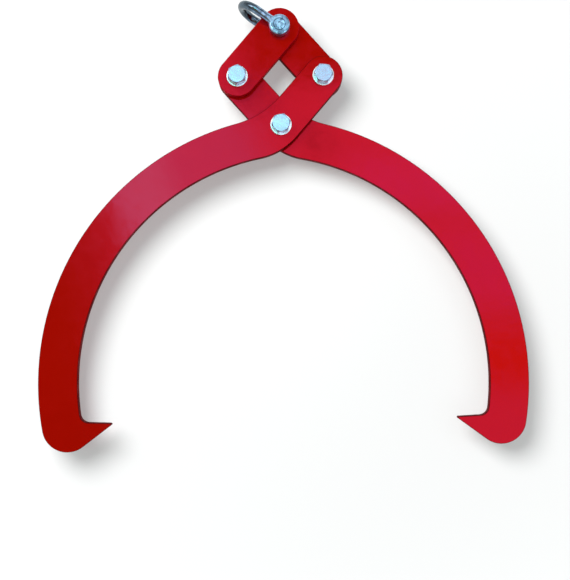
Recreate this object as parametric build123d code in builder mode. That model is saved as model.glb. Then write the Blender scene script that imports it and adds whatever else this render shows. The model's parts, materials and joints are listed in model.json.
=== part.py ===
from build123d import *
from math import acos, asin, atan2, cos, degrees, radians, sin, sqrt, tan
import os

# Scissor lifting tongs, in millimetres, lying on their back and half open.
# Four flat plates in two layers make a rhombus of equal sides: pulling its top eye
# closes the arms. The back arm and back link are the front ones turned over.
# +Z leaves the front faces, +Y runs from the centre pivot to the lifting eye, and the
# origin is under the middle of the footprint, on the surface that the tongs lie on.

# Linkage: a side of the rhombus, and its half angle as modelled
pivot_spacing = 91.8
rest_half_angle = 41.2

# Plates: thickness, the gap between the two layers, and the broken edges
plate_thickness = 10.0
layer_gap = 0.3
edge_chamfer = 0.7
head_width = 55.0

# Arm: a curved band of constant width, and where its bend's centre lies from its pivot
arm_width = 55.0
arm_bend_radius = 350.5
pivot_outset = 14.0
bend_direction = 226.28
neck_radius = 126.0
throat_radius = 91.0

# Hook at the end of the arm: where its round sits along the bend, and its tooth
hook_angle = 140.65
hook_radius = 35.5
tooth_length = 64.0
tooth_drop = 7.0
tooth_rake = 12.1
tooth_root_radius = 12.5
tooth_tip_radius = 1.6

# Pivot bolts with hexagon heads, washers and self-locking nuts
bolt_diameter = 16.0
bolt_length = 45.0
wrench_size = 24.0
bolt_head_height = 10.0
bolt_end_chamfer = 1.2
pivot_clearance = 0.1
thread_clearance = 0.05
washer_diameter = 30.0
washer_hole_clearance = 0.5
washer_thickness = 3.0
washer_chamfer = 0.4
washer_play = 0.1
nut_height = 16.0
nut_hex_height = 11.5
nut_collar_diameter = 22.0
nut_lip_thickness = 1.0
nut_lip_opening = 18.5
nut_ring_wall = 2.0
hex_corner_slope = 30.0
hex_face_share = 0.95
bolt_turn = {"centre": 11.0, "left": 24.0, "right": -7.0}

# Shackle: round bar bent to a bow, forged eyes, and a screw pin with a flat eye
shackle_angle = 148.0
shackle_bar = 12.0
shackle_pin_diameter = 16.0
shackle_jaw = 21.0
shackle_inside_length = 48.0
shackle_bow_width = 33.0
shackle_eye_diameter = 29.0
shackle_eye_chamfer = 1.5
shackle_eye_clearance = 0.65
plate_eye_clearance = 0.65
pin_collar_diameter = 23.0
pin_collar_thickness = 4.0
pin_collar_gap = 1.0
pin_tab_diameter = 24.0
pin_tab_thickness = 8.0
pin_tab_neck = 15.0
pin_tab_length = 25.0
pin_tab_hole = 9.0
pin_end_chamfer = 1.0


def polar(radius, angle):
    """The vector of this length at this angle in degrees from +X."""
    return Vector(radius * cos(radians(angle)), radius * sin(radians(angle)))


def angle_of(vector):
    """The angle of a vector from +X, in degrees."""
    return degrees(atan2(vector.Y, vector.X))


# Key points of an arm, in the arm's own plane: its pivot at the origin, its head along +X
head_radius = head_width / 2
outer_radius = arm_bend_radius + arm_width / 2
inner_radius = arm_bend_radius - arm_width / 2
bend_centre = polar(arm_bend_radius + pivot_outset, bend_direction)
hook_centre = bend_centre + polar(outer_radius - hook_radius, hook_angle)
tooth_tip = hook_centre - polar(tooth_length, hook_angle) + polar(tooth_drop, hook_angle + 90)

# Places of the pivots when modelled, with the footprint's middle over the origin
head_direction = 90 - rest_half_angle
eye_thickness = shackle_bar
crown_reach = shackle_pin_diameter / 2 + shackle_inside_length + shackle_bar / 2
top_pivot_height = 2 * pivot_spacing * sin(radians(head_direction))
shackle_top = polar(crown_reach, shackle_angle).Y + shackle_bar / 2
highest = top_pivot_height + max(shackle_top, head_radius)
lowest = hook_centre.rotate(Axis.Z, head_direction).Y - hook_radius
pin_depth = shackle_jaw / 2 + eye_thickness + pin_collar_thickness + pin_tab_length

centre_pivot = Vector(0, -(highest + lowest) / 2, pin_depth)
right_pivot = centre_pivot + polar(pivot_spacing, head_direction)
left_pivot = centre_pivot + polar(pivot_spacing, 180 - head_direction)
top_pivot = centre_pivot + Vector(0, top_pivot_height)

# Faces of the stack, measured from its middle plane
plate_face = layer_gap / 2 + plate_thickness
washer_seat = plate_face + washer_play
head_seat = washer_seat + washer_thickness


def plate_plane(pivot, toward, side):
    """The inner face of the front (side 1) or back (side -1) layer, +X from pivot to toward."""
    origin = pivot + Vector(0, 0, side * layer_gap / 2)
    return Plane(origin=origin, x_dir=toward - pivot, z_dir=(0, 0, side))


def stack_plane(pivot, side, height):
    """A plane across a pivot's axis, this far out of the middle plane, facing outwards."""
    return Plane(origin=pivot + Vector(0, 0, side * height), x_dir=(1, 0, 0), z_dir=(0, 0, side))


def arm_outline():
    """Head, curved arm and hook, with the holes of the centre pivot and of the head."""
    neck_angle = degrees(asin((head_radius - bend_centre.Y) / outer_radius))
    throat_angle = degrees(asin((-head_radius - bend_centre.Y) / inner_radius))
    neck = bend_centre + polar(outer_radius, neck_angle)
    throat = bend_centre + polar(inner_radius, throat_angle)

    # The underside of the tooth is tangent to the round of the hook
    to_tip = tooth_tip - hook_centre
    under_angle = angle_of(to_tip) - degrees(acos(hook_radius / to_tip.length)) + 360
    under_start = hook_centre + polar(hook_radius, under_angle)

    # The top of the tooth runs back from the tip until it meets the inner edge of the arm
    backwards = polar(1, hook_angle - tooth_rake)
    from_centre = tooth_tip - bend_centre
    along = from_centre.dot(backwards)
    top_length = sqrt(along**2 + inner_radius**2 - from_centre.length**2) - along
    tooth_root = tooth_tip + backwards * top_length
    root_angle = angle_of(tooth_root - bend_centre)

    with BuildSketch() as outline:
        with BuildLine():
            CenterArc(bend_centre, outer_radius, neck_angle, hook_angle - neck_angle)
            CenterArc(hook_centre, hook_radius, hook_angle, under_angle - hook_angle)
            Line(under_start, tooth_tip)
            Line(tooth_tip, tooth_root)
            CenterArc(bend_centre, inner_radius, root_angle, throat_angle - root_angle)
            Line(throat, (pivot_spacing, -head_radius))
            CenterArc((pivot_spacing, 0), head_radius, -90, 180)
            Line((pivot_spacing, head_radius), neck)
        make_face()
        for corner, radius in (
            (neck, neck_radius),
            (throat, throat_radius),
            (tooth_root, tooth_root_radius),
            (tooth_tip, tooth_tip_radius),
        ):
            fillet(outline.vertices().sort_by_distance(corner)[0], radius)
        with Locations((0, 0), (pivot_spacing, 0)):
            Circle(bolt_diameter / 2 + pivot_clearance, mode=Mode.SUBTRACT)
    return outline.sketch


def link_outline():
    """A capsule from the lifting eye at the origin to the side pivot along +X."""
    with BuildSketch() as outline:
        with Locations((pivot_spacing / 2, 0)):
            SlotCenterToCenter(pivot_spacing, head_width)
        Circle(shackle_pin_diameter / 2 + plate_eye_clearance, mode=Mode.SUBTRACT)
        with Locations((pivot_spacing, 0)):
            Circle(bolt_diameter / 2 + pivot_clearance, mode=Mode.SUBTRACT)
    return outline.sketch


def plate(outline, plane):
    """A plate of this outline on this plane, with its outer edges broken."""
    with BuildPart() as blank:
        with BuildSketch(plane):
            add(outline)
        extrude(amount=plate_thickness)
        rims = [face.outer_wire().edges() for face in blank.faces().filter_by(Axis.Z)]
        chamfer(rims[0] + rims[1], edge_chamfer)
    return blank.part


def hexagon(height, turn):
    """A hexagon prism on the workplane, its outer corners cut back to a cone."""
    cone_radius = wrench_size
    face_radius = hex_face_share * wrench_size / 2
    drop = (cone_radius - face_radius) * tan(radians(hex_corner_slope))
    with BuildPart() as prism:
        with BuildSketch():
            RegularPolygon(wrench_size / 2, 6, major_radius=False, rotation=turn)
        extrude(amount=height)
        with BuildSketch(Plane.XZ):
            with BuildLine():
                Polyline((0, 0), (cone_radius, 0), (cone_radius, height - drop), (face_radius, height))
                Polyline((face_radius, height), (0, height), (0, 0))
            make_face()
        revolve(axis=Axis.Z, mode=Mode.INTERSECT)
    return prism.part


os.makedirs("parts", exist_ok=True)

# Plates
with BuildPart() as front_arm:
    add(plate(arm_outline(), plate_plane(centre_pivot, right_pivot, 1)))
front_arm.part.label = "front_arm"
export_step(front_arm.part, "parts/front_arm.step")

with BuildPart() as back_arm:
    add(plate(arm_outline(), plate_plane(centre_pivot, left_pivot, -1)))
back_arm.part.label = "back_arm"
export_step(back_arm.part, "parts/back_arm.step")

with BuildPart() as front_link:
    add(plate(link_outline(), plate_plane(top_pivot, left_pivot, 1)))
front_link.part.label = "front_link"
export_step(front_link.part, "parts/front_link.step")

with BuildPart() as back_link:
    add(plate(link_outline(), plate_plane(top_pivot, right_pivot, -1)))
back_link.part.label = "back_link"
export_step(back_link.part, "parts/back_link.step")

# Bolt, washers, nut and locking ring at each two-plate pivot
for name, pivot in {"centre": centre_pivot, "left": left_pivot, "right": right_pivot}.items():
    head_plane = stack_plane(pivot, 1, head_seat)
    nut_plane = stack_plane(pivot, -1, head_seat)
    ring_plane = nut_plane.offset(nut_hex_height)
    turn = bolt_turn[name]
    bore = bolt_diameter / 2 + thread_clearance
    ring_radius = bolt_diameter / 2 + nut_ring_wall
    ring_height = nut_height - nut_hex_height - nut_lip_thickness

    with BuildPart() as bolt:
        with Locations(head_plane.location):
            add(hexagon(bolt_head_height, turn))
        with BuildSketch(head_plane):
            Circle(bolt_diameter / 2)
        extrude(amount=-bolt_length)
        chamfer(bolt.edges().filter_by(GeomType.CIRCLE).sort_by(Axis.Z)[0], bolt_end_chamfer)
    bolt.part.label = f"{name}_bolt"
    export_step(bolt.part, f"parts/{name}_bolt.step")

    for side, side_name in ((1, "front"), (-1, "back")):
        with BuildPart() as washer:
            with BuildSketch(stack_plane(pivot, side, washer_seat)):
                Circle(washer_diameter / 2)
                Circle(bolt_diameter / 2 + washer_hole_clearance, mode=Mode.SUBTRACT)
            extrude(amount=washer_thickness)
            outer_rims = washer.edges().filter_by(GeomType.CIRCLE).group_by(SortBy.RADIUS)[-1]
            chamfer(outer_rims.sort_by(Axis.Z)[-1 if side > 0 else 0], washer_chamfer)
        washer.part.label = f"{name}_{side_name}_washer"
        export_step(washer.part, f"parts/{name}_{side_name}_washer.step")

    with BuildPart() as lock_nut:
        with Locations(nut_plane.location):
            add(hexagon(nut_hex_height, turn))
        with BuildSketch(ring_plane):
            Circle(nut_collar_diameter / 2)
        extrude(amount=nut_height - nut_hex_height)
        with BuildSketch(nut_plane):
            Circle(bore)
        extrude(amount=nut_height, mode=Mode.SUBTRACT)
        with BuildSketch(ring_plane):
            Circle(ring_radius + thread_clearance)
        extrude(amount=ring_height, mode=Mode.SUBTRACT)
        with BuildSketch(ring_plane):
            Circle(nut_lip_opening / 2)
        extrude(amount=ring_height + nut_lip_thickness, mode=Mode.SUBTRACT)
        lip_rims = lock_nut.edges().filter_by(GeomType.CIRCLE).group_by(Axis.Z)[0]
        chamfer(lip_rims.sort_by(SortBy.RADIUS)[-1], nut_lip_thickness / 2)
    lock_nut.part.label = f"{name}_lock_nut"
    export_step(lock_nut.part, f"parts/{name}_lock_nut.step")

    with BuildPart() as nut_ring:
        with BuildSketch(ring_plane):
            Circle(ring_radius)
            Circle(bore, mode=Mode.SUBTRACT)
        extrude(amount=ring_height)
    nut_ring.part.label = f"{name}_nut_ring"
    export_step(nut_ring.part, f"parts/{name}_nut_ring.step")

# Shackle: the bow's bar leaves each eye along a line tangent to the round of the bow
outwards = polar(1, shackle_angle)
bow_plane = Plane(origin=top_pivot, x_dir=outwards, z_dir=(outwards.Y, -outwards.X, 0))
bow_radius = (shackle_bow_width + shackle_bar) / 2
bow_centre = crown_reach - bow_radius
leg_height = (shackle_jaw + eye_thickness) / 2
leg_foot = pin_collar_diameter / 2 + pin_collar_gap
to_bow = Vector(bow_centre - leg_foot, -leg_height)
leg_slope = angle_of(to_bow) + degrees(asin(bow_radius / to_bow.length))
bow_start = Vector(bow_centre, 0) + polar(bow_radius, 90 + leg_slope)
eye_planes = [stack_plane(top_pivot, side, shackle_jaw / 2) for side in (1, -1)]

with BuildPart() as shackle_bow:
    with BuildSketch(*eye_planes):
        Circle(shackle_eye_diameter / 2)
    extrude(amount=eye_thickness)
    chamfer(shackle_bow.edges().filter_by(GeomType.CIRCLE), shackle_eye_chamfer)
    with BuildLine(bow_plane) as bow_path:
        Line((leg_foot, leg_height), (bow_start.X, bow_start.Y))
        CenterArc((bow_centre, 0), bow_radius, 90 + leg_slope, -180 - 2 * leg_slope)
        Line((bow_start.X, -bow_start.Y), (leg_foot, -leg_height))
    with BuildSketch(Plane(origin=bow_path.line @ 0, z_dir=bow_path.line % 0)):
        Circle(shackle_bar / 2)
    sweep(path=bow_path.line)
    with BuildSketch(eye_planes[0]):
        Circle(shackle_pin_diameter / 2 + thread_clearance)
    extrude(amount=eye_thickness, mode=Mode.SUBTRACT)
    with BuildSketch(eye_planes[1]):
        Circle(shackle_pin_diameter / 2 + shackle_eye_clearance)
    extrude(amount=eye_thickness, mode=Mode.SUBTRACT)
shackle_bow.part.label = "shackle_bow"
export_step(shackle_bow.part, "parts/shackle_bow.step")

eye_face = shackle_jaw / 2 + eye_thickness
with BuildPart() as shackle_pin:
    with BuildSketch(stack_plane(top_pivot, 1, eye_face)):
        Circle(shackle_pin_diameter / 2)
    extrude(amount=-2 * eye_face)
    chamfer(shackle_pin.edges().filter_by(GeomType.CIRCLE).sort_by(Axis.Z)[-1], pin_end_chamfer)
    with BuildSketch(stack_plane(top_pivot, -1, eye_face)):
        Circle(pin_collar_diameter / 2)
    extrude(amount=pin_collar_thickness)
    collar_face = eye_face + pin_collar_thickness
    tab_centre = collar_face + pin_tab_length - pin_tab_diameter / 2
    with BuildSketch(bow_plane):
        with BuildLine():
            CenterArc((0, -tab_centre), pin_tab_diameter / 2, 0, 360)
            Line((-pin_tab_neck / 2, -collar_face), (pin_tab_neck / 2, -collar_face))
        make_hull()
        with Locations((0, -tab_centre)):
            Circle(pin_tab_hole / 2, mode=Mode.SUBTRACT)
    extrude(amount=pin_tab_thickness / 2, both=True)
shackle_pin.part.label = "shackle_pin"
export_step(shackle_pin.part, "parts/shackle_pin.step")
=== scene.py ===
"""Looks of the scissor lifting tongs: glossy red plates, zinc-plated bolts and a galvanised shackle."""
import json
import math

import bmesh
import bpy
import numpy as np
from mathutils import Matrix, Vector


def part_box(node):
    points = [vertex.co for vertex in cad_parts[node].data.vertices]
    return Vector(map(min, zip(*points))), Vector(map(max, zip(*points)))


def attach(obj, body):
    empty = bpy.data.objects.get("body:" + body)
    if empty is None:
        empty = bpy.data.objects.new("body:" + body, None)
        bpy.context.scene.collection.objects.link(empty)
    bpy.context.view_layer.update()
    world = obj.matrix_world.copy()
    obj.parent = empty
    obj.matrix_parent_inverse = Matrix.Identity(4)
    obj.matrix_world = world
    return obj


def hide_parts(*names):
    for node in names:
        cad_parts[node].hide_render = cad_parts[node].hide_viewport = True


MM = 0.001
TURN = 2 * math.pi

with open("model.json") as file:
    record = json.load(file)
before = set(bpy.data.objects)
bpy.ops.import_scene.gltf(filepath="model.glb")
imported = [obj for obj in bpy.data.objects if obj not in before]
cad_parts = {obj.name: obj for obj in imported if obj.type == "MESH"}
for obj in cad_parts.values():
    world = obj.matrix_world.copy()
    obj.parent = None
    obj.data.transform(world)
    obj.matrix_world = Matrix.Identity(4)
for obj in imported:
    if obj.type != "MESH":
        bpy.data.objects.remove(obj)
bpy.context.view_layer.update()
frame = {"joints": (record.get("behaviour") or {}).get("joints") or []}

# Places from the frame: the four pivots on the middle plane, and the faces of the plates
JOINT_PLACES = {joint["name"]: np.array(joint["pos_m"]) for joint in frame["joints"]}
PIVOTS = {
    "centre": JOINT_PLACES["front_arm_opening"],
    "left": JOINT_PLACES["left_pivot"],
    "right": JOINT_PLACES["right_pivot"],
    "top": JOINT_PLACES["shackle_swing"],
}
FRONT_FACES = (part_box("front_arm")[0].z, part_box("front_arm")[1].z)
BACK_FACES = (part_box("back_arm")[0].z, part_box("back_arm")[1].z)
MIDDLE_HEIGHT = PIVOTS["centre"][2]
PIVOT_SPACING = float(np.linalg.norm(PIVOTS["right"] - PIVOTS["centre"]))
BOLT_BODIES = {"centre": "centre_pivot", "left": "front_link", "right": "front_arm"}

# Meshes
ARC_STEP = 1.5 * MM
LEAST_ARC_STEPS = 4
LEAST_GAP = 0.05 * MM
ROUND_STEPS = 5
ROUND_ROOM = 0.48
LEAST_TANGENT = 1e-6
MERGE_DISTANCE = 1e-6
SLIVER_LENGTH = 1e-7
FLAT_WEIGHT = 80

# Plates
HEAD_RADIUS = 27.5 * MM
ARM_WIDTH = 55 * MM
ARM_BEND_RADIUS = 350.5 * MM
PIVOT_OUTSET = 14 * MM
BEND_DIRECTION = 226.28
NECK_RADIUS = 126 * MM
THROAT_RADIUS = 91 * MM
HOOK_ANGLE = 140.65
HOOK_RADIUS = 35.5 * MM
TOOTH_LENGTH = 64 * MM
TOOTH_DROP = 7 * MM
TOOTH_RAKE = 12.1
TOOTH_ROOT_RADIUS = 12.5 * MM
TOOTH_TIP_RADIUS = 1.6 * MM
TOOTH_TIP_STEPS = 9
BOLT_HOLE_RADIUS = 8.1 * MM
EYE_HOLE_RADIUS = 8.65 * MM
EDGE_ROUND = 0.7 * MM
EDGE_STEPS = 5

# Fasteners
HEX_SEGMENTS = 120
WASHER_SEGMENTS = 96
RING_SEGMENTS = 72
BOLT_RADIUS = 8 * MM
BOLT_LENGTH = 45 * MM
BOLT_HEAD_HEIGHT = 10 * MM
BOLT_END_CHAMFER = 1.2 * MM
HALF_WRENCH = 12 * MM
HEX_FACE_RADIUS = 11.4 * MM
HEX_SLOPE = math.tan(math.radians(30))
HEX_SHARPNESS = 70
WASHER_FACE_HEIGHT = 0.5 * MM
BOLT_HEAD_ROUNDS = np.array([0, 0.5, 0.35, 0.3, 0.2, 0.2, 0.4, 0]) * MM
BOLT_HEAD_STEPS = 4
THREAD_PITCH = 2 * MM
THREAD_DEPTH = 1.1 * MM
THREAD_LENGTH = 22 * MM
THREAD_STEPS = 100
THREAD_FLANK = 2.2
THREAD_CREST = 0.05
WASHER_RADIUS = 15 * MM
WASHER_HOLE_RADIUS = 8.5 * MM
WASHER_THICKNESS = 3 * MM
WASHER_ROUNDS = np.array([0.15, 0.15, 0.6, 0.35]) * MM
WASHER_STEPS = 6
HEAD_SEAT = 13.25 * MM
NUT_HEX_HEIGHT = 11.5 * MM
NUT_HEIGHT = 16 * MM
NUT_COLLAR_RADIUS = 11 * MM
NUT_LIP_THICKNESS = 1 * MM
NUT_LIP_RADIUS = 9.25 * MM
NUT_BORE_RADIUS = 8.05 * MM
NUT_BORE_CHAMFER = 0.8 * MM
NUT_ROUNDS = np.array([0.1, 0.1, 0.4, 0.35, 0.35, 0.3, 0.2, 1.4, 0.4, 0.1, 0.1, 0.1, 0.1]) * MM
NUT_RING_RADIUS = 10 * MM
NUT_RING_GAP = 0.05 * MM
NUT_RING_ROUNDS = np.array([0.1, 0.1, 0.2, 0.5]) * MM
BOLT_TURNS = {"centre": 11.0, "left": 24.0, "right": -7.0}

# Shackle
SHACKLE_ANGLE = 148.0
BAR_RADIUS = 6 * MM
PIN_RADIUS = 8 * MM
HALF_JAW = 10.5 * MM
INSIDE_LENGTH = 48 * MM
BOW_RADIUS = 22.5 * MM
EYE_RADIUS = 14.5 * MM
EYE_THICKNESS = 12 * MM
LEG_FOOT = 12.5 * MM
EYE_BLEND = 5 * MM
CIRCLE_POWER = 2
EYE_SQUARENESS = 5
SQUARE_END = 2 * MM
SQUARE_FADE = EYE_RADIUS + 5 * MM
SQUARE_FALL = 1.5
EYE_STEPS = 24
LEG_FOOT_STEPS = 16
LEG_STEPS = 24
BAR_SEGMENTS = 48
PIN_HOLE_CLEARANCE = 0.3 * MM
PIN_HOLE_MOUTH = 0.4 * MM
CUTTER_REACH = 1 * MM
PIN_SEGMENTS = 96
PIN_ROUNDS = np.array([0, 0.5, 0.3, 0.4, 0.9, 0]) * MM
COLLAR_RADIUS = 11.5 * MM
COLLAR_THICKNESS = 4 * MM
TAB_RADIUS = 12 * MM
TAB_THICKNESS = 8 * MM
TAB_NECK = 15 * MM
TAB_LENGTH = 25 * MM
TAB_HOLE_RADIUS = 4.5 * MM
TAB_ROUND = 1 * MM


def polar(radius, angle):
    """The plane vector of this length at this angle in degrees."""
    return radius * np.array([math.cos(math.radians(angle)), math.sin(math.radians(angle))])


def angle_of(vector):
    """The angle of a plane vector, in degrees."""
    return math.degrees(math.atan2(vector[1], vector[0]))


def place_at(origin, x_axis, z_axis):
    """A place as origin and three axes, its third along z_axis and its first nearest to x_axis."""
    z = np.array(z_axis, float) / np.linalg.norm(z_axis)
    x = np.array(x_axis, float) - np.dot(x_axis, z) * z
    x /= np.linalg.norm(x)
    return np.array(origin, float), np.array([x, np.cross(z, x), z])


def placed(points, place):
    """Local points carried to a place."""
    origin, axes = place
    return origin + points @ axes


def stack_place(pivot, side, height, turn=0.0):
    """Across a pivot's axis, this far out of the middle plane on the front (1) or back (-1)."""
    spot = PIVOTS[pivot] + np.array([0, 0, side * height])
    x_axis = (*polar(1, turn), 0)
    return place_at(spot, x_axis, (0, 0, side))


# Surfaces

def arc(centre, radius, start, end):
    """Points of a circle's arc between two angles in degrees, ends included, about ARC_STEP apart."""
    steps = max(LEAST_ARC_STEPS, int(abs(math.radians(end - start)) * radius / ARC_STEP))
    angles = np.radians(np.linspace(start, end, steps + 1))
    return np.array(centre) + radius * np.stack([np.cos(angles), np.sin(angles)], axis=1)


def rounded(corners, radii, steps=ROUND_STEPS):
    """A closed loop through corners (..., K, 2), each corner cut by an arc tangent to both its sides.

    The arc is the conic (1-t)^2 A + 2 w t (1-t) P + t^2 B over its weights, which is a circle's
    where w is the cosine of half the turn. A radius is held to what the shorter side leaves room for."""
    corners = np.asarray(corners, float)
    before = np.roll(corners, 1, axis=-2) - corners
    after = np.roll(corners, -1, axis=-2) - corners
    before_length = np.linalg.norm(before, axis=-1)
    after_length = np.linalg.norm(after, axis=-1)
    before_way = before / before_length[..., None]
    after_way = after / after_length[..., None]
    half_inside = np.arccos(np.clip((before_way * after_way).sum(-1), -1, 1)) / 2
    reach = np.asarray(radii) / np.maximum(np.tan(half_inside), LEAST_TANGENT)
    reach = np.minimum(reach, ROUND_ROOM * np.minimum(before_length, after_length))[..., None, None]
    weight = np.sin(half_inside)[..., None, None]
    t = np.linspace(0, 1, steps)[:, None]
    start = corners[..., None, :] + reach * before_way[..., None, :]
    end = corners[..., None, :] + reach * after_way[..., None, :]
    middle = corners[..., None, :]
    total = (1 - t) ** 2 + 2 * weight * t * (1 - t) + t**2
    curve = ((1 - t) ** 2 * start + 2 * weight * t * (1 - t) * middle + t**2 * end) / total
    return curve.reshape(*corners.shape[:-2], -1, 2)


def grid_faces(rows, columns, wrap_rows=True, wrap_columns=True):
    """The four-cornered faces of a grid of points numbered row by row."""
    r = np.arange(rows if wrap_rows else rows - 1)[:, None]
    c = np.arange(columns if wrap_columns else columns - 1)[None, :]
    r_next, c_next = (r + 1) % rows, (c + 1) % columns
    corners = [r * columns + c, r_next * columns + c, r_next * columns + c_next, r * columns + c_next]
    return np.stack(np.broadcast_arrays(*corners), axis=-1).reshape(-1, 4)


def new_piece(name, points, faces, material, body, slot, replaced=()):
    """A finished piece from points in the frame, and faces that name them by number."""
    mesh = bpy.data.meshes.new(name)
    mesh.from_pydata(np.asarray(points, float).tolist(), [], [list(face) for face in faces])
    return finish_piece(name, mesh, material, body, slot, replaced)


def close_mesh(mesh):
    """Merges the mesh's doubles, drops slivers and turns all faces outwards."""
    shape = bmesh.new()
    shape.from_mesh(mesh)
    bmesh.ops.remove_doubles(shape, verts=shape.verts, dist=MERGE_DISTANCE)
    bmesh.ops.dissolve_degenerate(shape, edges=shape.edges, dist=SLIVER_LENGTH)
    bmesh.ops.recalc_face_normals(shape, faces=shape.faces)
    shape.to_mesh(mesh)
    shape.free()


def finish_piece(name, mesh, material, body, slot, replaced=()):
    """Closes and smooths the mesh, and lets it ride and stand for its nodes; its slot is not used."""
    close_mesh(mesh)
    mesh.shade_smooth()
    mesh.materials.append(material)
    piece = bpy.data.objects.new(name, mesh)
    bpy.context.scene.collection.objects.link(piece)
    flats = piece.modifiers.new("flat_flats", "WEIGHTED_NORMAL")
    flats.weight = FLAT_WEIGHT
    flats.keep_sharp = True
    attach(piece, body)
    if replaced:
        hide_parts(*replaced)
    return piece


def turned_points(loop, segments):
    """(radius, height) loops, one for all angles or one for each, carried round the local Z axis."""
    angles = np.arange(segments) * TURN / segments
    loop = np.broadcast_to(loop, (segments, *loop.shape[-2:]))
    x = loop[..., 0] * np.cos(angles)[:, None]
    y = loop[..., 0] * np.sin(angles)[:, None]
    return np.stack([x, y, loop[..., 1]], axis=-1)


def turned_piece(name, loop, place, segments, *finish):
    """A turned piece from its closed (radius, height) loop.

    Its finish is its material, body and slot, and the nodes it stands for."""
    points = turned_points(loop, segments)
    faces = grid_faces(segments, points.shape[1])
    return new_piece(name, placed(points.reshape(-1, 3), place), faces, *finish)


# Outlines of the plates, in the plane of each, with the arm's pivot at the origin

def line_circle_fillet(point, way, side, centre, radius, bend, inside, near):
    """Centre of the fillet of radius bend between a line and a circle, by its distances from both.

    The line runs through point along way, the fillet lies on its left (side 1) or right (-1), and
    inside the circle or outside it, nearest to the point near."""
    normal = side * np.array([-way[1], way[0]])
    start = point + bend * normal - centre
    reach = radius - bend if inside else radius + bend
    half = start @ way
    root = math.sqrt(half**2 - start @ start + reach**2)
    choices = [centre + start + way * (-half + sign * root) for sign in (1, -1)]
    return min(choices, key=lambda spot: np.linalg.norm(spot - near))


def short_way(start, end):
    """The angle equal to end that lies within half a turn of start."""
    return start + (end - start + 180) % 360 - 180


def arm_outline():
    """Head, curved band and hook of an arm, counter-clockwise from the end of its head."""
    outer, inner = ARM_BEND_RADIUS + ARM_WIDTH / 2, ARM_BEND_RADIUS - ARM_WIDTH / 2
    centre = polar(ARM_BEND_RADIUS + PIVOT_OUTSET, BEND_DIRECTION)
    hook = centre + polar(outer - HOOK_RADIUS, HOOK_ANGLE)
    tip = hook - polar(TOOTH_LENGTH, HOOK_ANGLE) + polar(TOOTH_DROP, HOOK_ANGLE + 90)
    along = np.array([1.0, 0.0])
    head_top = np.array([PIVOT_SPACING, HEAD_RADIUS])
    head_bottom = np.array([PIVOT_SPACING, -HEAD_RADIUS])

    # Neck above the pivot and throat below it, each tangent to the head's side and to the band
    neck = line_circle_fillet(head_top, along, 1, centre, outer, NECK_RADIUS, False, (0, 0))
    throat = line_circle_fillet(head_bottom, along, 1, centre, inner, THROAT_RADIUS, False, (0, 0))
    neck_angle = angle_of(neck - centre)
    throat_angle = angle_of(throat - centre)

    # The tooth: its underside is tangent to the hook's round, and its top rakes back to the band
    to_tip = tip - hook
    under_angle = angle_of(to_tip) - math.degrees(math.acos(HOOK_RADIUS / np.linalg.norm(to_tip))) + 360
    under_start = hook + polar(HOOK_RADIUS, under_angle)
    back = polar(1, HOOK_ANGLE - TOOTH_RAKE)
    beyond = tip + back * TOOTH_LENGTH
    root = line_circle_fillet(tip, back, -1, centre, inner, TOOTH_ROOT_RADIUS, True, beyond)
    root_angle = angle_of(root - centre)
    top_start = root + TOOTH_ROOT_RADIUS * np.array([-back[1], back[0]])
    tip_loop = rounded([under_start, tip, top_start], [0, TOOTH_TIP_RADIUS, 0], TOOTH_TIP_STEPS)
    tip_corner = tip_loop[TOOTH_TIP_STEPS:2 * TOOTH_TIP_STEPS]

    root_line_angle = angle_of(top_start - root)
    neck_band_angle = angle_of(centre - neck)
    throat_band_angle = angle_of(centre - throat)
    return np.concatenate([
        arc(head_bottom + (0, HEAD_RADIUS), HEAD_RADIUS, -90, 90),
        arc(neck, NECK_RADIUS, -90, short_way(-90, neck_band_angle)),
        arc(centre, outer, neck_angle, HOOK_ANGLE)[1:],
        arc(hook, HOOK_RADIUS, HOOK_ANGLE, under_angle)[1:],
        tip_corner,
        arc(root, TOOTH_ROOT_RADIUS, root_line_angle, short_way(root_line_angle, root_angle)),
        arc(centre, inner, root_angle, throat_angle)[1:],
        arc(throat, THROAT_RADIUS, throat_band_angle, short_way(throat_band_angle, -90))[1:],
    ])


def link_outline():
    """A capsule from the eye at the origin to the side pivot along +X, counter-clockwise."""
    return np.concatenate([
        arc((PIVOT_SPACING, 0), HEAD_RADIUS, -90, 90),
        arc((0, 0), HEAD_RADIUS, 90, 270),
    ])


def hole(centre, radius):
    """A round hole's rim, clockwise, so that its outward side is the hole."""
    return arc(centre, radius, 360, 0)[:-1]


def outward_normals(loop):
    """The unit normal at each point of a closed loop, to the right of the way round."""
    way = np.roll(loop, -1, axis=0) - np.roll(loop, 1, axis=0)
    way /= np.linalg.norm(way, axis=1)[:, None]
    return np.stack([way[:, 1], -way[:, 0]], axis=1)


def thinned(loop, spacing=LEAST_GAP):
    """The loop without points that lie closer than spacing to the one before."""
    gap = np.linalg.norm(loop - np.roll(loop, 1, axis=0), axis=1)
    return loop[gap > spacing]


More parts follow.
